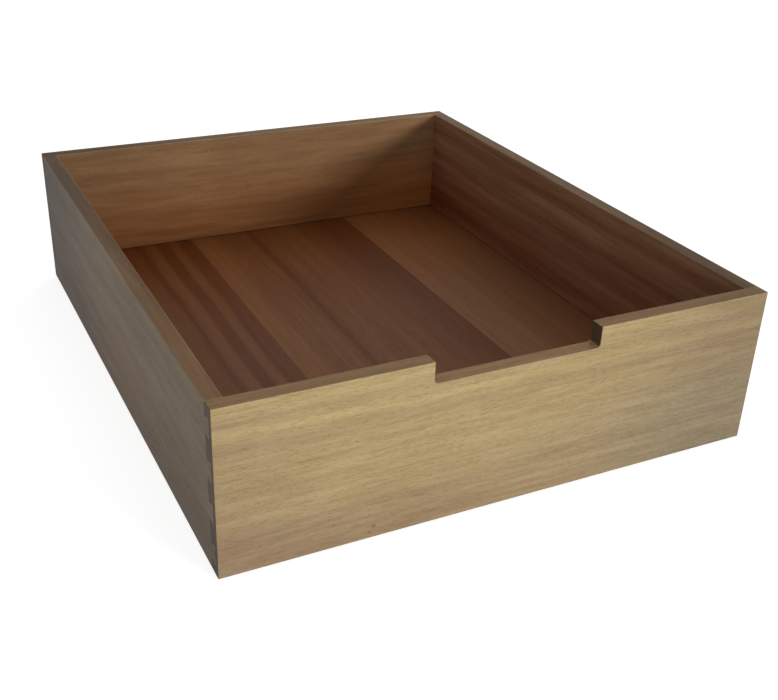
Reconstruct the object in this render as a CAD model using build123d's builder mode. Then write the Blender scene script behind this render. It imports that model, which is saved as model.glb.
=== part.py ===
from build123d import *
from math import radians, tan
import os

# Open-topped hardwood drawer: four dovetailed walls round a floor of three boards.
# Millimetres, +Z up. The origin is the middle of the underside, and the front faces -Y.

# Outside of the drawer
drawer_width = 341.0
drawer_depth = 405.0
drawer_height = 100.0

# Planed thickness of the walls
front_thickness = 9.5
back_thickness = 9.5
side_thickness = 9.5

# Finger notch in the upper edge of the front
notch_width = 103.0
notch_depth = 12.7
notch_corner_radius = 2.0

# Lapped dovetails, tails on the sides and pins on the front and back
tail_pitch = 25.0
tail_width = 12.7
tail_slope_degrees = 14.0
lap_thickness = 3.0
least_end_pin = 4.0
glue_gap = 0.1
tail_end_room = 0.2

# Floor panel, boards glued edge to edge and held loose in grooves
floor_underside = 11.4
floor_thickness = 6.0
left_board_show = 99.0
middle_board_width = 137.0
groove_depth = 4.75
groove_headroom = 0.3
floor_side_room = 0.75
floor_end_room = 0.25

# Rounding of the sanded edges
arris_radius = 0.6

# How far a cutter runs past the wood
overrun = 20.0

# Inner faces of the walls
inner_width = drawer_width - 2 * side_thickness
front_inner_y = front_thickness - drawer_depth / 2
back_inner_y = drawer_depth / 2 - back_thickness
inner_depth = back_inner_y - front_inner_y
inner_middle_y = (front_inner_y + back_inner_y) / 2

# Tail heights, centred on the wall so that the two end pins are alike
tail_count = 1 + int((drawer_height - tail_width - 2 * least_end_pin) / tail_pitch)
lowest_tail = (drawer_height - (tail_count - 1) * tail_pitch) / 2
tail_heights = [lowest_tail + index * tail_pitch for index in range(tail_count)]


def dovetail(wall_thickness, slack, end_room):
    """A dovetail that points along -Y from its root on XZ, with the side's outer face at X = 0.

    Its flanks lean out at the cutter's slope, and its inner end is a cone that the turning cutter leaves.
    """
    slope = tan(radians(tail_slope_degrees))
    socket_length = wall_thickness - lap_thickness
    length = socket_length - end_room
    root = tail_width / 2 - socket_length * slope - slack
    tip = root + length * slope
    cone_x = side_thickness - tail_width / 2
    with BuildPart() as shape:
        with BuildSketch(Plane.YZ.offset(-overrun)):
            with BuildLine():
                Polyline((0, -root), (-length, -tip), (-length, tip), (0, root), close=True)
            make_face()
        extrude(amount=overrun + cone_x)
        with BuildSketch(Plane.XY):
            with BuildLine():
                Polyline((cone_x, 0), (cone_x + root, 0), (cone_x + tip, -length), (cone_x, -length), close=True)
            make_face()
        revolve(axis=Axis((cone_x, 0, 0), (0, 1, 0)))
    return shape.part


front_tail = dovetail(front_thickness, glue_gap, tail_end_room)
front_socket = dovetail(front_thickness, 0, 0)
back_tail = dovetail(back_thickness, glue_gap, tail_end_room)
back_socket = dovetail(back_thickness, 0, 0)

# Where the dovetails sit at the four corners, turned to point out of the side they belong to
front_left = [Location((-drawer_width / 2, front_inner_y, z)) for z in tail_heights]
front_right = [Location((drawer_width / 2, front_inner_y, z), (0, 180, 0)) for z in tail_heights]
back_left = [Location((-drawer_width / 2, back_inner_y, z), (180, 0, 0)) for z in tail_heights]
back_right = [Location((drawer_width / 2, back_inner_y, z), (0, 0, 180)) for z in tail_heights]

# The walls as one glued-up ring with its notch and sanded edges, to which each wall is trimmed
with BuildPart() as sanded_walls:
    with BuildSketch():
        Rectangle(drawer_width, drawer_depth)
        with Locations((0, inner_middle_y)):
            Rectangle(inner_width, inner_depth, mode=Mode.SUBTRACT)
    extrude(amount=drawer_height)
    with BuildSketch(Plane.XZ.offset(-front_inner_y - overrun)) as notch:
        with Locations((0, drawer_height - notch_depth)):
            Rectangle(notch_width, notch_depth + overrun, align=(Align.CENTER, Align.MIN))
        fillet(notch.vertices().group_by(Axis.Y)[0], notch_corner_radius)
    extrude(amount=front_thickness + 2 * overrun, mode=Mode.SUBTRACT)
    fillet(sanded_walls.edges().filter_by(lambda edge: not edge.is_interior), arris_radius)

# The groove stops inside the front and the back, and runs through the tails of the sides
with BuildPart() as stopped_groove:
    with BuildSketch(Plane.XY.offset(floor_underside)):
        with Locations((0, inner_middle_y)):
            Rectangle(inner_width + 2 * groove_depth, inner_depth + 2 * groove_depth)
    extrude(amount=floor_thickness + groove_headroom)

with BuildPart() as through_groove:
    with BuildSketch(Plane.XY.offset(floor_underside)):
        Rectangle(inner_width + 2 * groove_depth, drawer_depth)
    extrude(amount=floor_thickness + groove_headroom)

with BuildPart() as front_board:
    with BuildSketch():
        with Locations((0, front_inner_y)):
            Rectangle(drawer_width, front_thickness, align=(Align.CENTER, Align.MAX))
    extrude(amount=drawer_height)
    add(sanded_walls.part, mode=Mode.INTERSECT)
    with Locations(front_left + front_right):
        add(front_socket, mode=Mode.SUBTRACT)
    add(stopped_groove.part, mode=Mode.SUBTRACT)

with BuildPart() as back_board:
    with BuildSketch():
        with Locations((0, back_inner_y)):
            Rectangle(drawer_width, back_thickness, align=(Align.CENTER, Align.MIN))
    extrude(amount=drawer_height)
    add(sanded_walls.part, mode=Mode.INTERSECT)
    with Locations(back_left + back_right):
        add(back_socket, mode=Mode.SUBTRACT)
    add(stopped_groove.part, mode=Mode.SUBTRACT)

with BuildPart() as left_side:
    with BuildSketch():
        with Locations((-drawer_width / 2, inner_middle_y)):
            Rectangle(side_thickness, inner_depth, align=(Align.MIN, Align.CENTER))
    extrude(amount=drawer_height)
    with Locations(front_left):
        add(front_tail)
    with Locations(back_left):
        add(back_tail)
    add(sanded_walls.part, mode=Mode.INTERSECT)
    add(through_groove.part, mode=Mode.SUBTRACT)

with BuildPart() as right_side:
    add(left_side.part)
    mirror(about=Plane.YZ, mode=Mode.REPLACE)

walls = {
    "front_board": front_board.part,
    "back_board": back_board.part,
    "left_side": left_side.part,
    "right_side": right_side.part,
}

# The floor rests on the lower cheeks of the grooves, with room in them to swell
floor_front_y = front_inner_y - groove_depth + floor_end_room
floor_back_y = back_inner_y + groove_depth - floor_end_room
floor_half_width = inner_width / 2 + groove_depth - floor_side_room
left_seam_x = left_board_show - inner_width / 2
right_seam_x = left_seam_x + middle_board_width
floor_spans = {
    "left_floor_board": (-floor_half_width, left_seam_x),
    "middle_floor_board": (left_seam_x, right_seam_x),
    "right_floor_board": (right_seam_x, floor_half_width),
}

floor_boards = {}
for name, (left_x, right_x) in floor_spans.items():
    with BuildPart() as floor_board:
        with BuildSketch(Plane.XY.offset(floor_underside)):
            with Locations((left_x, floor_front_y)):
                Rectangle(right_x - left_x, floor_back_y - floor_front_y, align=(Align.MIN, Align.MIN))
        extrude(amount=floor_thickness)
    floor_boards[name] = floor_board.part

os.makedirs("parts", exist_ok=True)
for name, piece in {**walls, **floor_boards}.items():
    piece.label = name
    export_step(piece, f"parts/{name}.step")
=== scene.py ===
import math
from collections import namedtuple

import bmesh
import bpy
from bpy.props import FloatProperty, FloatVectorProperty, PointerProperty
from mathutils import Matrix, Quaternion, Vector


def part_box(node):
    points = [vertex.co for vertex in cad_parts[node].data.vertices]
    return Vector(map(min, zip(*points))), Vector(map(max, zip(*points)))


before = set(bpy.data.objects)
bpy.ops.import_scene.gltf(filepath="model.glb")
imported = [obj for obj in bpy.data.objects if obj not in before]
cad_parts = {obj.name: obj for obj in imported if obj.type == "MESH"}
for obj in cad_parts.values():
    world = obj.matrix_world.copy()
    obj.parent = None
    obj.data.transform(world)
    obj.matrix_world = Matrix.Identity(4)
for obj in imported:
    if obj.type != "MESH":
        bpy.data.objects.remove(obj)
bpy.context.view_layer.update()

bl_info = {
    "name": "Dovetailed Drawer Looks",
    "version": (1, 0, 0),
    "blender": (4, 5, 0),
    "location": "3D View > Sidebar > Drawer",
    "description": "Oiled hardwood finish for a dovetailed drawer, and a small studio around it",
    "category": "Object",
}

# How a board was sawn from its log: the axes along the grain, across the wide face and through the board,
# the log's heart in the last two, in metres, a seed that keeps boards apart, and the way the inside faces
Cut = namedtuple("Cut", "axes heart seed inward")
CUTS = {
    "front_board": Cut("XZY", (-0.160, 0.060), 1.7, (0, 1, 0)),
    "back_board": Cut("XZY", (0.240, -0.050), 4.2, (0, -1, 0)),
    "left_side": Cut("YZX", (0.210, 0.040), 7.9, (1, 0, 0)),
    "right_side": Cut("YZX", (-0.140, 0.050), 12.4, (-1, 0, 0)),
    "left_floor_board": Cut("YXZ", (-0.330, 0.060), 15.1, (0, 0, 1)),
    "middle_floor_board": Cut("YXZ", (0.260, -0.070), 19.6, (0, 0, 1)),
    "right_floor_board": Cut("YXZ", (0.420, 0.080), 23.3, (0, 0, 1)),
}

# How the grain shows on a board: length and width of its ribbons, in metres, and how strong its marks are
Figure = namedtuple("Figure", "ribbon_length ribbon_width ribbons drift lines strokes pores")
FIGURES = {
    "front_board": Figure(0.180, 0.0058, ribbons=0.60, drift=0.25, lines=0.50, strokes=0.22, pores=0.25),
    "back_board": Figure(0.080, 0.0050, ribbons=2.00, drift=0.40, lines=0.45, strokes=0.15, pores=0.25),
    "left_side": Figure(0.120, 0.0065, ribbons=2.50, drift=0.70, lines=0.40, strokes=0.15, pores=0.25),
    "right_side": Figure(0.110, 0.0045, ribbons=3.20, drift=0.50, lines=0.40, strokes=0.15, pores=0.25),
    "left_floor_board": Figure(
        0.160, 0.0050, ribbons=0.85, drift=0.30, lines=0.33, strokes=0.12, pores=0.25),
    "middle_floor_board": Figure(
        0.160, 0.0050, ribbons=1.70, drift=0.50, lines=0.38, strokes=0.12, pores=0.25),
    "right_floor_board": Figure(
        0.160, 0.0050, ribbons=1.20, drift=0.50, lines=0.36, strokes=0.12, pores=0.25),
}

# What each kind of mark makes of the tone under it
PALE_RIBBON = (1.18, 1.21, 1.24)
DEEP_RIBBON = (0.82, 0.79, 0.76)
GRAIN_LINE = (0.68, 0.60, 0.52)
DARK_STROKE = (0.62, 0.52, 0.44)

# The middle of every noise, and of the mix between pale and deep ribbons
MIDDLE = 0.5
# The span of noise over which each kind of mark comes in
LINE_SPAN = (0.30, 0.70)
STROKE_SPAN = (0.58, 0.76)
PORE_SPAN = (0.62, 0.72)

# Patches of noise that bend the grain, in metres along, across and through a board
WAVER_PATCH = (0.20, 0.06, 0.06)
RIPPLE_PATCH = (0.02, 0.01, 0.01)
SWAY_PATCH = (0.11, 0.05, 0.05)

# The span over which a face counts as looking along an axis, as a share of its normal
SQUARE_SPAN = (0.55, 0.90)
# The same for a rounded edge: its normal lies off every axis, and leans towards the wide face
ROUNDED_SPAN = (0.99, 0.90)
LEANING_SPAN = (0.05, 0.20)

# Part of a face: where it begins and where it is full, in metres along and across the grain, or all the face
Patch = namedtuple("Patch", "along across", defaults=(None, None))
# A face's wood: its pale and its deep tone, the depth between the two, where stripes are counted from, the
# stripes that add to the depth, what patches add to it, and tints with the patches that they cover
Finish = namedtuple("Finish", "pale deep depth start stripes shades tints", defaults=(0.0, (), (), ()))

# Stripes of the walls: height over the drawer's base, in metres, and depth of tone from pale 0 to deep 1.
# The deep stops low on each wall are partly the grain's stripes and partly painted shade towards the bottom
FRONT_STRIPES = [
    (0.000, 0.90), (0.022, 0.75), (0.030, 0.45), (0.051, 0.35), (0.067, 0.25), (0.075, 0.45), (0.082, 0.00),
    (0.088, 0.30), (0.096, 0.00)]
BACK_STRIPES = [
    (0.017, 0.85), (0.027, 0.85), (0.050, 0.55), (0.063, 0.40), (0.071, 0.10), (0.077, 0.25), (0.084, 0.00),
    (0.090, 0.20), (0.096, 0.00)]
SIDE_STRIPES = [
    (0.017, 0.60), (0.027, 0.80), (0.045, 0.60), (0.062, 0.35), (0.068, 0.45), (0.075, 0.15), (0.082, 0.15),
    (0.088, 0.40), (0.094, 0.15)]
# Stripes of the floor boards: the same, by the distance from the left wall. The right board's deepen towards
# the right wall with painted shade
FLOOR_STRIPES = {
    "left_floor_board": [
        (0.000, 0.60), (0.040, 0.55), (0.052, 0.62), (0.056, 0.95), (0.062, 0.45), (0.067, 0.40),
        (0.071, 0.95), (0.077, 0.95), (0.081, 0.40), (0.085, 0.45), (0.089, 1.00), (0.094, 0.85),
        (0.100, 0.80)],
    "middle_floor_board": [
        (0.098, 0.04), (0.112, 0.08), (0.122, 0.32), (0.143, 0.42), (0.148, 0.98), (0.153, 0.50),
        (0.180, 0.48), (0.205, 0.72), (0.237, 1.00)],
    "right_floor_board": [(0.235, 0.08), (0.258, 0.12), (0.285, 0.35), (0.330, 0.50)],
}

# What a drift of hue or shade makes of the tone under it
GREYER_FRONT = (0.93, 1.01, 1.10)
GREENER_FRONT = (0.965, 1.01, 1.00)
# Painted shade towards an end of a board
SHADED_END = (0.84, 0.84, 0.84)
# Painted bounce light, warm, in the shade at the back's lower right
BOUNCE_LIGHT_TINT = (1.20, 1.11, 1.04)
BROWNER_SIDE = (1.00, 0.86, 0.73)
BROWN_EDGE = (1.00, 0.93, 0.87)
BROWNER_EDGE = (0.96, 0.85, 0.70)
# Painted shade towards the back of the floor
SHADED_FLOOR_TINT = (0.97, 0.86, 0.70)
BROWNER_FLOOR = (1.00, 0.97, 0.86)
GREYER_FLOOR = (0.94, 1.00, 1.15)
# Painted shade where the floor meets the walls
PAINTED_CORNER_SHADE = (0.72, 0.66, 0.60)
# Where the painted shade along the walls begins on the floor, as a share of the way from the middle to a
# wall
CORNER_SHADE_SHARE = 0.975

# Pin knots on the show face of the front: place along X, height and radius, in metres, and darkness
PIN_KNOTS = [
    (-0.0839, 0.0076, 0.0015, 0.50),
    (-0.0865, 0.0039, 0.0012, 0.45),
    (-0.0504, 0.0311, 0.0013, 0.30),
    (0.1268, 0.0912, 0.0011, 0.30),
    (0.0203, 0.0738, 0.0013, 0.25),
]
# Pin knots are drawn out along the grain, and are measured on the front's face alone
KNOT_MEASURE = (0.75, 0.0, 1.0)

STUDIO_LIGHTS = ("key", "ceiling", "front_fill", "far_fill")
FLOOR_SIDES = 96
SENSOR_WIDTH = 36.0
WHITE = (1.0, 1.0, 1.0)


def tone(name, description, default):
    """A colour that the user can change."""
    return FloatVectorProperty(
        name=name, description=description, default=default, subtype="COLOR", size=3, min=0.0, max=1.0)


def length(name, description, default):
    """A length in metres that the user can change."""
    return FloatProperty(
        name=name, description=description, default=default, unit="LENGTH", subtype="DISTANCE", min=0.0,
        precision=5)


def share(name, description, default):
    """A share from none to all that the user can change."""
    return FloatProperty(
        name=name, description=description, default=default, subtype="FACTOR", min=0.0, max=1.0)


def angle(name, description, degrees):
    """An angle that the user can change."""
    return FloatProperty(name=name, description=description, default=math.radians(degrees), subtype="ANGLE")


def strength(name, description, default):
    """A strength of light that the user can change."""
    return FloatProperty(name=name, description=description, default=default, min=0.0)


def direction(name, description, default):
    """A direction that the user can change."""
    return FloatVectorProperty(
        name=name, description=description, default=default, subtype="DIRECTION", size=3)


class DrawerGrain(bpy.types.PropertyGroup):
    """Sizes of the grain that all the boards share."""
    drift_length: length("Drift length", "Length of the broad drifts of tone", 0.45)
    drift_width: length("Drift width", "Width of the broad drifts of tone", 0.050)
    line_length: length("Line length", "Length of the fine grain lines", 0.040)
    line_width: length("Line width", "Spacing of the fine grain lines", 0.0016)
    stroke_length: length("Stroke length", "Length of the short dark strokes between the lines", 0.014)
    stroke_width: length("Stroke width", "Width of the short dark strokes", 0.0012)
    pore_length: length("Pore length", "Length of the open pores", 0.0032)
    pore_width: length("Pore width", "Width of the open pores", 0.00026)
    pore_depth: length("Pore depth", "Depth of the open pores", 0.00010)
    waver: length("Waver", "How far the grain wanders sideways along a board", 0.007)
    ripple: length("Ripple", "How far the fine lines waver to and fro", 0.0008)
    sway: length("Sway", "How far the stripes wander sideways along a board", 0.006)


class DrawerOil(bpy.types.PropertyGroup):
    """How the oiled surface takes the light, and how pale its rounded edges are."""
    roughness: share("Roughness", "Roughness of the smooth wood", 0.46)
    pore_roughness: share("Pore roughness", "How much rougher the wood is in its pores", 0.14)
    line_relief: share("Line relief", "How deep the fine lines lie beside the pores", 0.20)
    relief: share("Relief", "How strongly pores and lines catch the light", 0.70)
    wall_gloss: share("Wall gloss", "Gloss of the walls", 0.05)
    floor_gloss: share("Floor gloss", "Gloss of the floor boards", 0.17)
    # Paler rounded edges: partly rubbed wear, partly a painted highlight where they catch the light
    edge_wear_and_highlight: share("Edge wear", "How pale the rubbed edges are", 0.30)
    index: FloatProperty(name="Index", description="Refractive index of the oil", default=1.45, min=1.0)


class DrawerTones(bpy.types.PropertyGroup):
    """Colours of the boards."""
    front_pale: tone("Front, pale", "Yellow wood of the front", (0.585, 0.448, 0.222))
    front_deep: tone("Front, deep", "Rosy wood of the front", (0.372, 0.262, 0.160))
    # The sides' outside tones are greyer and darker than the front's: painted shade
    side_pale: tone("Sides, pale", "Pale wood outside on the sides", (0.380, 0.278, 0.178))
    side_deep: tone("Sides, deep", "Deep wood outside on the sides", (0.124, 0.093, 0.065))
    # The sides' deep inside tone is painted shade, red like the light bounced inside the drawer
    side_inside_pale: tone("Sides inside, pale", "Pale wood inside on the sides", (0.520, 0.305, 0.180))
    side_inside_deep: tone("Sides inside, deep", "Deep wood inside on the sides", (0.182, 0.042, 0.010))
    # The back's deep tone is redder than its pale one: painted shade lit by warm bounce light
    back_pale: tone("Back, pale", "Pale wood of the back", (0.244, 0.143, 0.072))
    back_deep: tone("Back, deep", "Deep wood of the back", (0.247, 0.101, 0.035))
    floor_pale: tone("Floor, pale", "Pale wood of the floor boards", (0.210, 0.086, 0.033))
    floor_deep: tone("Floor, deep", "Deep wood of the floor boards", (0.094, 0.029, 0.007))
    # The edge tones are partly painted shade on the upper edges
    edge_pale: tone("Edges, pale", "Palest wood of the upper and lower edges", (0.338, 0.213, 0.112))
    edge_deep: tone("Edges, deep", "Deepest wood of the upper and lower edges", (0.098, 0.065, 0.040))
    end_pale: tone("End grain, pale", "Palest end grain of the pins and the notch", (0.158, 0.112, 0.073))
    end_deep: tone("End grain, deep", "Deepest end grain of the pins", (0.052, 0.038, 0.025))
    # Rounded edges are paler: partly rubbed wear, partly a painted highlight where they catch the light
    worn_and_highlit: tone("Worn edges", "Pale wood where the edges are rubbed", (0.500, 0.370, 0.235))
    pore: tone("Pores", "Dark oil in the pores and pin knots", (0.075, 0.045, 0.022))


class DrawerStudio(bpy.types.PropertyGroup):
    """Floor, light and camera of the studio."""
    floor_radius: length("Floor radius", "Radius of the studio floor", 4.0)
    floor_drop: length("Floor drop", "How far the floor lies under the drawer", 0.0002)
    floor_colour: tone("Floor colour", "Colour of the floor", (0.45, 0.45, 0.45))
    floor_white: share("Floor whiteness", "How bright the floor looks before any light falls on it", 0.80)
    key_towards: direction("Key direction", "Where the front right light is", (0.425, -0.887, 0.179))
    key_strength: strength("Key strength", "Strength of the front right light", 1.95)
    key_softness: angle("Key softness", "How wide the front right light is", 13.0)
    ceiling_towards: direction("Ceiling direction", "Where the broad light overhead is", (0.0, 0.0, 1.0))
    ceiling_strength: strength("Ceiling strength", "Strength of the broad light overhead", 1.35)
    ceiling_softness: angle("Ceiling softness", "How wide the broad light overhead is", 90.0)
    front_fill_towards: direction("Front fill direction", "Where the front light is", (-0.15, -0.97, 0.20))
    front_fill_strength: strength("Front fill strength", "Strength of the front light", 0.45)
    front_fill_softness: angle("Front fill softness", "How wide the front light is", 24.0)
    far_fill_towards: direction("Far fill direction", "Where the back right light is", (0.66, 0.74, 0.10))
    far_fill_strength: strength("Far fill strength", "Strength of the back right light", 1.20)
    far_fill_softness: angle("Far fill softness", "How wide the back right light is", 20.0)
    sky_strength: strength("Sky strength", "Strength of the dim light all round", 0.05)
    camera_place: FloatVectorProperty(
        name="Camera place", description="Where the camera stands", default=(-0.29533, -0.62397, 0.36490),
        subtype="TRANSLATION", unit="LENGTH", precision=5)
    camera_azimuth: angle("Camera azimuth", "Turn of the view to the right of the drawer's depth", 27.210)
    camera_elevation: angle("Camera elevation", "How steeply the camera looks down", 28.024)
    camera_roll: angle("Camera roll", "Tilt of the camera about its own line of sight", 2.137)
    camera_lens: FloatProperty(
        name="Lens", description="Focal length on the camera's sensor", default=50.673, unit="CAMERA")


def colour(values):
    """A shader colour out of three numbers."""
    return (*values, 1.0)


class Graph:
    """Builds shader nodes in one tree."""

    def __init__(self, owner):
        owner.use_nodes = True
        self.tree = owner.node_tree
        self.tree.nodes.clear()

    def node(self, kind, inputs=None, **settings):
        """A node with its settings made and its inputs set or linked."""
        made = self.tree.nodes.new(kind)
        for key, value in settings.items():
            setattr(made, key, value)
        for key, value in (inputs or {}).items():
            if isinstance(value, bpy.types.NodeSocket):
                self.tree.links.new(value, made.inputs[key])
            else:
                made.inputs[key].default_value = value
        return made

    def total(self, first, *others):
        """All the numbers added up."""
        for other in others:
            first = self.number("ADD", first, other)
        return first

    def number(self, operation, first, second=0.0):
        """One sum on numbers."""
        return self.node("ShaderNodeMath", {0: first, 1: second}, operation=operation).outputs["Value"]

    def vector(self, operation, first, second=(0.0, 0.0, 0.0)):
        """One sum on vectors, as a vector or as a number."""
        made = self.node("ShaderNodeVectorMath", {0: first, 1: second}, operation=operation)
        return made.outputs["Value" if operation in ("LENGTH", "DOT_PRODUCT") else "Vector"]

    def step(self, value, span):
        """0 up to the span's first value, 1 from its last on, smooth between them."""
        low, high = span
        made = self.node(
            "ShaderNodeMapRange", {"Value": value, "From Min": low, "From Max": high},
            interpolation_type="SMOOTHSTEP")
        return made.outputs["Result"]

    def mix(self, factor, first, second, blend="MIX"):
        """Two colours mixed."""
        made = self.node(
            "ShaderNodeMix", {0: factor, 6: first, 7: second}, data_type="RGBA", blend_type=blend)
        return made.outputs[2]

    def seen(self):
        """1 for what the camera sees, straight or in gloss or glass."""
        rays = self.node("ShaderNodeLightPath").outputs
        straight = self.number("MAXIMUM", rays["Is Camera Ray"], rays["Is Glossy Ray"])
        return self.number("MAXIMUM", straight, rays["Is Transmission Ray"])


class WoodGraph(Graph):
    """Builds the solid wood of one board, in the board's own axes."""

    def __init__(self, node, grain):
        self.material = bpy.data.materials.new(node + "_wood")
        super().__init__(self.material)
        self.cut = CUTS[node]
        self.grain = grain
        coordinates = self.node("ShaderNodeTexCoord").outputs
        self.place, self.normal = coordinates["Object"], coordinates["Normal"]
        axes = self.node("ShaderNodeSeparateXYZ", {"Vector": self.place}).outputs
        self.along, self.across, self.through = (axes[letter] for letter in self.cut.axes)
        self.board = self.joined(self.along, self.across, self.through)
        self.rings = self.ring_place()

    def joined(self, along, across, through):
        """One vector out of three values."""
        return self.node("ShaderNodeCombineXYZ", {"X": along, "Y": across, "Z": through}).outputs["Vector"]

    def noise(self, place, sizes, seed, detail=2.0, roughness=0.5):
        """Noise whose patches measure sizes, in metres, along the three axes of place."""
        scaled = self.vector("MULTIPLY", place, tuple(1.0 / size for size in sizes))
        inputs = {
            "Vector": scaled,
            "W": self.cut.seed + seed,
            "Scale": 1.0,
            "Detail": detail,
            "Roughness": roughness,
        }
        made = self.node("ShaderNodeTexNoise", inputs, noise_dimensions="4D")
        return made.outputs["Fac"]

    def swing(self, noise, reach):
        """Noise turned into a shift to both sides of zero."""
        return self.number("MULTIPLY", self.number("SUBTRACT", noise, MIDDLE), reach)

    def ring_place(self):
        """Place along the grain and distance from the log's heart, which wanders a little."""
        heart_across, heart_through = self.cut.heart
        across = self.number("SUBTRACT", self.across, heart_across)
        through = self.number("SUBTRACT", self.through, heart_through)
        radius = self.vector("LENGTH", self.joined(0.0, across, through))
        waver = self.swing(self.noise(self.board, WAVER_PATCH, seed=0.3, detail=1.0), self.grain.waver)
        ripple = self.swing(self.noise(self.board, RIPPLE_PATCH, seed=0.6, detail=1.0), self.grain.ripple)
        return self.joined(self.along, self.total(radius, waver, ripple), 0.0)

    def finish(self, finish):
        """A finish's tones, as deep and as tinted as it says at each place."""
        depth = finish.depth
        if finish.stripes:
            depth = self.total(self.stripes(finish.start, finish.stripes), depth)
        for amount, patch in finish.shades:
            depth = self.total(self.number("MULTIPLY", self.patch(patch), amount), depth)
        base = self.mix(depth, colour(finish.pale), colour(finish.deep))
        for tint, patch in finish.tints:
            base = self.mix(self.patch(patch), base, colour(tint), "MULTIPLY")
        return base

    def patch(self, patch):
        """1 where a patch is full."""
        mask = 1.0
        for place, span in ((self.along, patch.along), (self.across, patch.across)):
            if span is not None:
                mask = self.number("MULTIPLY", self.step(place, span), mask)
        return mask

    def stripes(self, start, stops):
        """Depth of tone along a row of given stops, which sways a little along the board."""
        sway = self.swing(self.noise(self.board, SWAY_PATCH, seed=6.0, detail=1.0), self.grain.sway)
        first, last = stops[0][0], stops[-1][0]
        distance = self.total(self.across, -start, sway)
        place = self.node("ShaderNodeMapRange", {"Value": distance, "From Min": first, "From Max": last})
        ramp = self.node("ShaderNodeValToRGB", {"Fac": place.outputs["Result"]})
        elements = ramp.color_ramp.elements
        ramp.color_ramp.interpolation = "EASE"
        while len(elements) < len(stops):
            elements.new(1.0)
        for element, (stop, depth) in zip(elements, stops):
            element.position = (stop - first) / (last - first)
            element.color = colour((depth, depth, depth))
        return ramp.outputs["Color"]

    def facing(self, way):
        """1 on faces that look one way."""
        return self.step(self.vector("DOT_PRODUCT", self.normal, way), SQUARE_SPAN)

    def lying(self, axis):
        """1 on faces square to an axis, whichever way they look."""
        way = tuple(float(letter == axis) for letter in "XYZ")
        return self.step(self.number("ABSOLUTE", self.vector("DOT_PRODUCT", self.normal, way)), SQUARE_SPAN)

    def rounded(self):
        """1 on the rounded edges of the wide faces, whose normals lie between the axes."""
        parts = self.node("ShaderNodeSeparateXYZ", {"Vector": self.vector("ABSOLUTE", self.normal)}).outputs
        largest = self.number("MAXIMUM", self.number("MAXIMUM", parts["X"], parts["Y"]), parts["Z"])
        leaning = self.step(parts[self.cut.axes[2]], LEANING_SPAN)
        return self.number("MULTIPLY", self.step(largest, ROUNDED_SPAN), leaning)

    def marked(self, base, mask, strength, tint):
        """A tone with marks of one kind laid over it."""
        return self.mix(self.number("MULTIPLY", mask, strength), base, colour(tint), "MULTIPLY")


def wood(node, outside, inside=None, edge=None, end=None, knots=(), gloss=None):
    """Oiled solid wood for one board, with a finish for its faces, its inside, its edges and its ends."""
    scene = bpy.context.scene
    grain, oil, tones = scene.drawer_grain, scene.drawer_oil, scene.drawer_tones
    graph = WoodGraph(node, grain)
    figure = FIGURES[node]

    base = graph.finish(outside)
    if inside is not None:
        base = graph.mix(graph.facing(graph.cut.inward), base, graph.finish(inside))
    if edge is not None:
        base = graph.mix(graph.lying("Z"), base, graph.finish(edge))
    if end is not None:
        base = graph.mix(graph.lying(graph.cut.axes[0]), base, graph.finish(end))
    # Paler rounded edges: partly rubbed wear, partly a painted highlight where they catch the light
    base = graph.mix(graph.number("MULTIPLY", graph.rounded(), oil.edge_wear_and_highlight), base, colour(tones.worn_and_highlit))

    ribbons = graph.noise(graph.rings, (figure.ribbon_length, figure.ribbon_width, 1.0), seed=1.0)
    drift = graph.noise(graph.rings, (grain.drift_length, grain.drift_width, 1.0), seed=2.0, detail=1.0)
    bands = graph.total(graph.swing(ribbons, figure.ribbons), graph.swing(drift, figure.drift), MIDDLE)
    base = graph.mix(1.0, base, graph.mix(bands, colour(PALE_RIBBON), colour(DEEP_RIBBON)), "MULTIPLY")

    line_size = (grain.line_length, grain.line_width, 1.0)
    lines = graph.step(graph.noise(graph.rings, line_size, seed=3.0, detail=3.0, roughness=0.6), LINE_SPAN)
    base = graph.marked(base, lines, figure.lines, GRAIN_LINE)

    stroke_size = (grain.stroke_length, grain.stroke_width, grain.stroke_width)
    strokes = graph.step(graph.noise(graph.board, stroke_size, seed=4.0, detail=1.0), STROKE_SPAN)
    base = graph.marked(base, strokes, figure.strokes, DARK_STROKE)

    pore_size = (grain.pore_length, grain.pore_width, grain.pore_width)
    pores = graph.step(graph.noise(graph.board, pore_size, seed=5.0, detail=0.0), PORE_SPAN)
    base = graph.mix(graph.number("MULTIPLY", pores, figure.pores), base, colour(tones.pore))

    for x, z, radius, darkness in knots:
        offset = graph.vector("SUBTRACT", graph.place, (x, 0.0, z))
        distance = graph.vector("LENGTH", graph.vector("MULTIPLY", offset, KNOT_MEASURE))
        knot = graph.number("MULTIPLY", graph.step(distance, (radius, 0.0)), darkness)
        base = graph.mix(knot, base, colour(tones.pore))

    hollow = graph.total(pores, graph.number("MULTIPLY", lines, oil.line_relief))
    height = graph.number("SUBTRACT", 1.0, hollow)
    bump = graph.node(
        "ShaderNodeBump", {"Height": height, "Distance": grain.pore_depth, "Strength": oil.relief})
    shader = graph.node("ShaderNodeBsdfPrincipled", {
        "Base Color": base,
        "Roughness": graph.total(graph.number("MULTIPLY", hollow, oil.pore_roughness), oil.roughness),
        "Normal": bump.outputs["Normal"],
        "IOR": oil.index,
        "Specular IOR Level": oil.wall_gloss if gloss is None else gloss,
    })
    graph.node("ShaderNodeOutputMaterial", {"Surface": shader.outputs["BSDF"]})

    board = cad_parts[node]
    if not board.material_slots:
        board.data.materials.append(graph.material)
    for slot in board.material_slots:
        slot.material = graph.material


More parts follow.
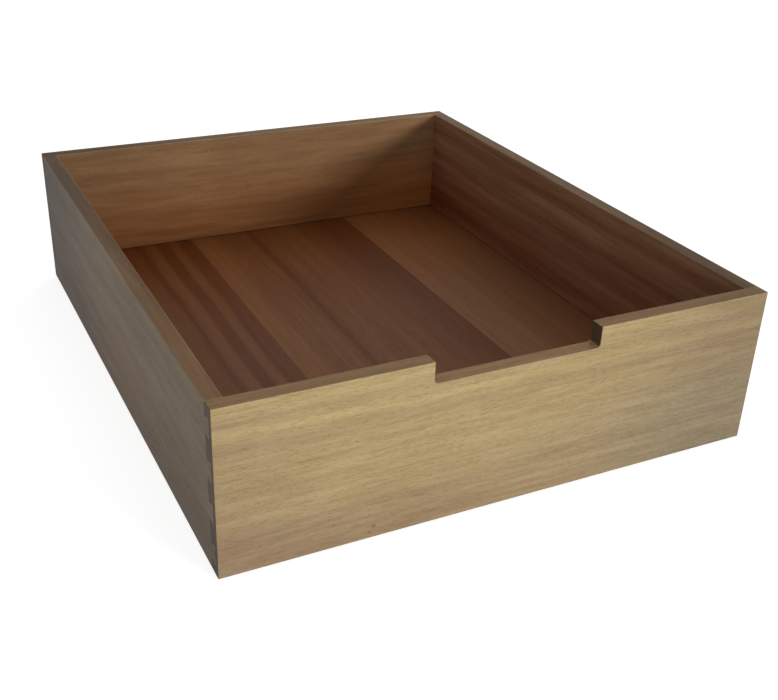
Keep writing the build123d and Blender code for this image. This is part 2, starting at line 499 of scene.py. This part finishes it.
def front_finish(tones):
    """Yellow and rosy stripes, deeper towards the bottom with painted shade, deeper towards both ends and
    greyer towards the lower right.
    """
    low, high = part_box("front_board")
    right_end = Patch(along=(0.0, 1.1 * high.x))
    left_end = Patch(along=(0.5 * low.x, 1.1 * low.x))
    right_corner = Patch(along=(0.3 * high.x, high.x), across=(0.2 * high.z, 0.6 * high.z))
    right_foot = Patch(along=(-0.4 * high.x, 0.2 * high.x), across=(0.30 * high.z, 0.15 * high.z))
    lower_right = Patch(along=(-0.2 * high.x, 0.8 * high.x), across=(0.7 * high.z, 0.3 * high.z))
    far_right = Patch(along=(0.3 * high.x, 0.8 * high.x))
    return Finish(
        tones.front_pale, tones.front_deep, depth=0.0, start=low.z, stripes=FRONT_STRIPES,
        shades=[(0.42, right_end), (0.30, left_end), (0.30, right_corner), (-0.28, right_foot)],
        tints=[(GREYER_FRONT, lower_right), (GREENER_FRONT, far_right)])


def plain_wall_finish(tones):
    """Stripes that redden on their way down, partly painted shade, for the inside of the front and the
    outside of the back.
    """
    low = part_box("back_board")[0]
    return Finish(tones.back_pale, tones.back_deep, depth=0.05, start=low.z, stripes=BACK_STRIPES)


def front_edge_finish(tones):
    """A little deeper towards the right end, and paler in the notch."""
    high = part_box("front_board")[1]
    right_end = Patch(along=(0.0, high.x))
    notch = Patch(across=(0.95 * high.z, 0.90 * high.z))
    return Finish(
        tones.edge_pale, tones.edge_deep, depth=0.22, shades=[(0.22, right_end), (-0.14, notch)])


def front_end_finish(tones):
    """Deeper towards the lower pins, painted shade."""
    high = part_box("front_board")[1]
    lower = Patch(across=(0.6 * high.z, 0.1 * high.z))
    return Finish(tones.end_pale, tones.end_deep, depth=0.0, shades=[(0.60, lower)])


def back_end_finish(tones):
    """A little deeper than the sides are at their back, where they carry painted shade."""
    return Finish(tones.end_pale, tones.end_deep, depth=1.0)


def back_inside_finish(tones):
    """The plain wall's stripes, with a darker left end and a deeper, warmer lower right; the darkness and
    depth are painted shade, the warmth painted bounce light.
    """
    low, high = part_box("back_board")
    lower_right = Patch(along=(0.0, 0.7 * high.x), across=(0.7 * high.z, 0.3 * high.z))
    left_end = Patch(along=(0.25 * low.x, 0.9 * low.x))
    right_end = Patch(along=(0.4 * high.x, 0.75 * high.x), across=(0.88 * high.z, 0.60 * high.z))
    return plain_wall_finish(tones)._replace(
        shades=[(0.25, lower_right)], tints=[(SHADED_END, left_end), (BOUNCE_LIGHT_TINT, right_end)])


def back_edge_finish(tones):
    """Deeper and browner towards the left end."""
    low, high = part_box("back_board")
    left_end = Patch(along=(0.2 * high.x, 0.9 * low.x))
    return Finish(
        tones.edge_pale, tones.edge_deep, depth=0.55,
        shades=[(0.48, left_end)], tints=[(BROWNER_EDGE, left_end)])


def side_finish(tones):
    """Greyish outside and deeper at the back and along the lower edge, all painted shade, and browner
    towards its lower back.
    """
    low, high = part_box("left_side")
    shaded_back_end = Patch(along=(0.2 * low.y, high.y))
    lower = Patch(across=(0.6 * high.z, 0.05 * high.z))
    shaded_far_end = Patch(along=(0.6 * high.y, high.y))
    lower_back = Patch(along=(low.y, 0.0), across=(0.85 * high.z, 0.10 * high.z))
    return Finish(
        tones.side_pale, tones.side_deep, depth=0.15,
        shades=[(0.80, shaded_back_end), (0.40, lower)],
        tints=[(BROWNER_SIDE, lower_back), (SHADED_END, shaded_far_end)])


def side_inside_finish(tones):
    """Long stripes that redden on their way down, deeper at the back and paler at the lower front; the
    reddening and deepening are painted shade.
    """
    low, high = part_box("left_side")
    shaded_back_end = Patch(along=(0.3 * high.y, high.y))
    lower_front = Patch(along=(0.3 * high.y, 0.2 * low.y), across=(0.6 * high.z, 0.4 * high.z))
    return Finish(
        tones.side_inside_pale, tones.side_inside_deep, depth=0.0, start=low.z, stripes=SIDE_STRIPES,
        shades=[(0.16, shaded_back_end), (-0.16, lower_front)])


def left_edge_finish(tones):
    """Brown all along, and deeper towards the back with painted shade."""
    low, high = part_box("left_side")
    shaded_back_end = Patch(along=(low.y, high.y))
    whole_edge = Patch()
    return Finish(
        tones.edge_pale, tones.edge_deep, depth=0.54,
        shades=[(0.50, shaded_back_end)], tints=[(BROWN_EDGE, whole_edge)])


def right_edge_finish(tones):
    """A little deeper towards the front."""
    low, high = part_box("right_side")
    front_end = Patch(along=(high.y, low.y))
    return Finish(tones.edge_pale, tones.edge_deep, depth=0.78, shades=[(0.06, front_end)])


def floor_finish(tones, node):
    """A board's own stripes, with painted shade that makes it deeper and redder at the back and darker along
    the walls.
    """
    left_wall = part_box("left_side")[1].x
    right_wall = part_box("right_side")[0].x
    back_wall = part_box("back_board")[0].y
    shaded_back_end = Patch(along=(0.0, back_wall))
    shaded_far_end = Patch(along=(0.0, 0.95 * back_wall))
    tints = [
        # Painted shade: redder towards the back wall
        (SHADED_FLOOR_TINT, shaded_far_end),
        # Painted shade along the back wall and the side walls
        (PAINTED_CORNER_SHADE, Patch(along=(CORNER_SHADE_SHARE * back_wall, back_wall))),
        (PAINTED_CORNER_SHADE, Patch(across=(CORNER_SHADE_SHARE * left_wall, left_wall))),
        (PAINTED_CORNER_SHADE, Patch(across=(CORNER_SHADE_SHARE * right_wall, right_wall))),
    ]
    if node == "left_floor_board":
        tints.append((BROWNER_FLOOR, Patch(along=(-0.3 * back_wall, 0.15 * back_wall))))
    if node == "right_floor_board":
        tints.append((GREYER_FLOOR, Patch(along=(0.5 * back_wall, 0.15 * back_wall))))
    return Finish(
        tones.floor_pale, tones.floor_deep, depth=0.0, start=left_wall, stripes=FLOOR_STRIPES[node],
        shades=[(0.20, shaded_back_end)], tints=tints)


class DRAWER_OT_front_board(bpy.types.Operator):
    """Finish the notched front, with its pin knots and the end grain of its pins"""
    bl_idname = "drawer.front_board"
    bl_label = "Finish Front Board"

    def execute(self, context):
        tones = context.scene.drawer_tones
        wood(
            "front_board", outside=front_finish(tones), inside=plain_wall_finish(tones),
            edge=front_edge_finish(tones), end=front_end_finish(tones), knots=PIN_KNOTS)
        return {"FINISHED"}


class DRAWER_OT_back_board(bpy.types.Operator):
    """Finish the back board"""
    bl_idname = "drawer.back_board"
    bl_label = "Finish Back Board"

    def execute(self, context):
        tones = context.scene.drawer_tones
        wood(
            "back_board", outside=plain_wall_finish(tones), inside=back_inside_finish(tones),
            edge=back_edge_finish(tones), end=back_end_finish(tones))
        return {"FINISHED"}


class DRAWER_OT_side_boards(bpy.types.Operator):
    """Finish the two sides, greyer outside than on their oiled inside, with painted shade on both faces"""
    bl_idname = "drawer.side_boards"
    bl_label = "Finish Side Boards"

    def execute(self, context):
        tones = context.scene.drawer_tones
        outside, inside = side_finish(tones), side_inside_finish(tones)
        wood("left_side", outside=outside, inside=inside, edge=left_edge_finish(tones))
        wood("right_side", outside=outside, inside=inside, edge=right_edge_finish(tones))
        return {"FINISHED"}


class DRAWER_OT_floor_boards(bpy.types.Operator):
    """Finish the three boards of the floor, each with its own stripes"""
    bl_idname = "drawer.floor_boards"
    bl_label = "Finish Floor Boards"

    def execute(self, context):
        tones, oil = context.scene.drawer_tones, context.scene.drawer_oil
        for node in FLOOR_STRIPES:
            wood(node, outside=floor_finish(tones, node), gloss=oil.floor_gloss)
        return {"FINISHED"}


class DRAWER_OT_stage(bpy.types.Operator):
    """Build the floor, the lights and the camera"""
    bl_idname = "drawer.stage"
    bl_label = "Build Stage"

    def execute(self, context):
        studio = context.scene.drawer_studio
        build_floor(studio)
        build_lights(studio)
        build_world(studio)
        build_camera(studio)
        context.scene.view_settings.view_transform = "Standard"
        return {"FINISHED"}


def build_floor(studio):
    """A wide round floor, just under the drawer."""
    mesh = bmesh.new()
    bmesh.ops.create_circle(mesh, cap_ends=True, segments=FLOOR_SIDES, radius=studio.floor_radius)
    bmesh.ops.translate(mesh, verts=mesh.verts, vec=(0.0, 0.0, -studio.floor_drop))
    data = bpy.data.meshes.new("studio_floor")
    mesh.to_mesh(data)
    mesh.free()
    data.materials.append(floor_material(studio))
    floor = bpy.data.objects.new("studio_floor", data)
    bpy.context.scene.collection.objects.link(floor)


def floor_material(studio):
    """White to the eye, and a plain pale surface to the light that falls on it."""
    material = bpy.data.materials.new("pale_floor")
    graph = Graph(material)
    shown = graph.number("MULTIPLY", graph.seen(), studio.floor_white)
    glow = graph.node("ShaderNodeEmission", {"Strength": shown})
    matt = graph.node("ShaderNodeBsdfDiffuse", {"Color": colour(studio.floor_colour)})
    both = graph.node("ShaderNodeAddShader", {0: matt.outputs["BSDF"], 1: glow.outputs["Emission"]})
    graph.node("ShaderNodeOutputMaterial", {"Surface": both.outputs["Shader"]})
    return material


def build_lights(studio):
    """A low soft key, a broad light overhead and low fills in front and behind, all of them far away."""
    for name in STUDIO_LIGHTS:
        data = bpy.data.lights.new(name, "SUN")
        data.energy = getattr(studio, name + "_strength")
        data.angle = getattr(studio, name + "_softness")
        light = bpy.data.objects.new(name, data)
        light.rotation_mode = "QUATERNION"
        light.rotation_quaternion = Vector(getattr(studio, name + "_towards")).to_track_quat("Z", "Y")
        # Seen in the gloss, the light from behind would glare along the upper edges
        light.visible_glossy = name != "far_fill"
        bpy.context.scene.collection.objects.link(light)


def build_world(studio):
    """White to the eye, and a dim light from all round to the drawer."""
    world = bpy.data.worlds.new("dim_sky")
    graph = Graph(world)
    dim = graph.node("ShaderNodeBackground", {"Color": colour(WHITE), "Strength": studio.sky_strength})
    white = graph.node("ShaderNodeBackground", {"Color": colour(WHITE), "Strength": 1.0})
    shaders = {0: graph.seen(), 1: dim.outputs["Background"], 2: white.outputs["Background"]}
    both = graph.node("ShaderNodeMixShader", shaders)
    graph.node("ShaderNodeOutputWorld", {"Surface": both.outputs["Shader"]})
    bpy.context.scene.world = world


def build_camera(studio):
    """The camera at the photograph's viewing angle."""
    data = bpy.data.cameras.new("photo_camera")
    data.sensor_width = SENSOR_WIDTH
    data.lens = studio.camera_lens
    camera = bpy.data.objects.new("photo_camera", data)
    camera.location = studio.camera_place
    camera.rotation_mode = "QUATERNION"
    turn = Quaternion((0.0, 0.0, 1.0), -studio.camera_azimuth)
    tilt = Quaternion((1.0, 0.0, 0.0), math.pi / 2 - studio.camera_elevation)
    roll = Quaternion((0.0, 0.0, 1.0), studio.camera_roll)
    camera.rotation_quaternion = turn @ tilt @ roll
    bpy.context.scene.collection.objects.link(camera)
    bpy.context.scene.camera = camera


class DRAWER_PT_looks(bpy.types.Panel):
    """Buttons and settings for the drawer's looks"""
    bl_idname = "DRAWER_PT_looks"
    bl_label = "Drawer"
    bl_space_type = "VIEW_3D"
    bl_region_type = "UI"
    bl_category = "Drawer"

    def draw(self, context):
        for operator in OPERATORS:
            self.layout.operator(operator.bl_idname)
        for name, group in GROUPS.items():
            box = self.layout.box()
            for setting in group.__annotations__:
                box.prop(getattr(context.scene, name), setting)


OPERATORS = (
    DRAWER_OT_front_board,
    DRAWER_OT_back_board,
    DRAWER_OT_side_boards,
    DRAWER_OT_floor_boards,
    DRAWER_OT_stage,
)
GROUPS = {
    "drawer_grain": DrawerGrain,
    "drawer_oil": DrawerOil,
    "drawer_tones": DrawerTones,
    "drawer_studio": DrawerStudio,
}
CLASSES = (*GROUPS.values(), *OPERATORS, DRAWER_PT_looks)


def register():
    for cls in CLASSES:
        bpy.utils.register_class(cls)
    for name, group in GROUPS.items():
        setattr(bpy.types.Scene, name, PointerProperty(type=group))


def unregister():
    for name in GROUPS:
        delattr(bpy.types.Scene, name)
    for cls in reversed(CLASSES):
        bpy.utils.unregister_class(cls)


def main():
    register()
    bpy.ops.drawer.front_board()
    bpy.ops.drawer.back_board()
    bpy.ops.drawer.side_boards()
    bpy.ops.drawer.floor_boards()
    bpy.ops.drawer.stage()


if __name__ == "__main__":
    main()
